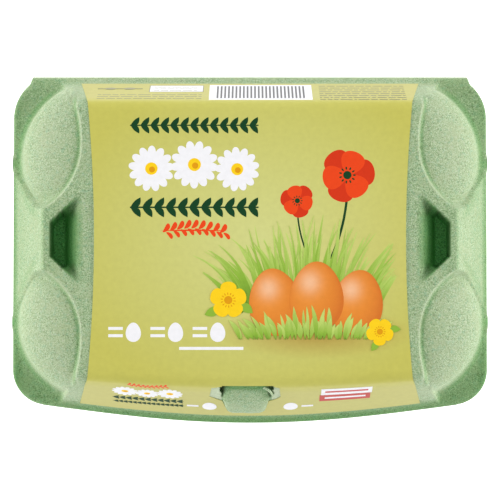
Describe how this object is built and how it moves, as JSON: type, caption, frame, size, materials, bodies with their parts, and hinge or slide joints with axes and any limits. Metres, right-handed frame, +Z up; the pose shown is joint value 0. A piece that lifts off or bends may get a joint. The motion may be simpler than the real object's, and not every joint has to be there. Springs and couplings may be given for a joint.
{
  "type": "egg carton",
  "caption": "Shut egg carton of green moulded pulp with round egg cups below, a flat-topped lid with finger slots at its ends, a closing tab, and a paper label folded over the lid.",
  "frame": {"origin": "middle of the carton's footprint, on the surface it stands on", "axes": "+X along the carton, +Y towards the hinge, +Z up; the closing tab is at -Y"},
  "size_m": [0.15, 0.1094, 0.0687],
  "materials": {
    "pulp": "matt moulded pulp, green, with a fine speckle of fibres",
    "label_paper": "smooth yellow-green printed paper, slightly satin"
  },
  "bodies": {
    "root": {"tray": "pulp", "lid": "pulp", "hinge": "pulp", "closing_tab": "pulp", "label": "label_paper"}
  },
  "joints": []
}
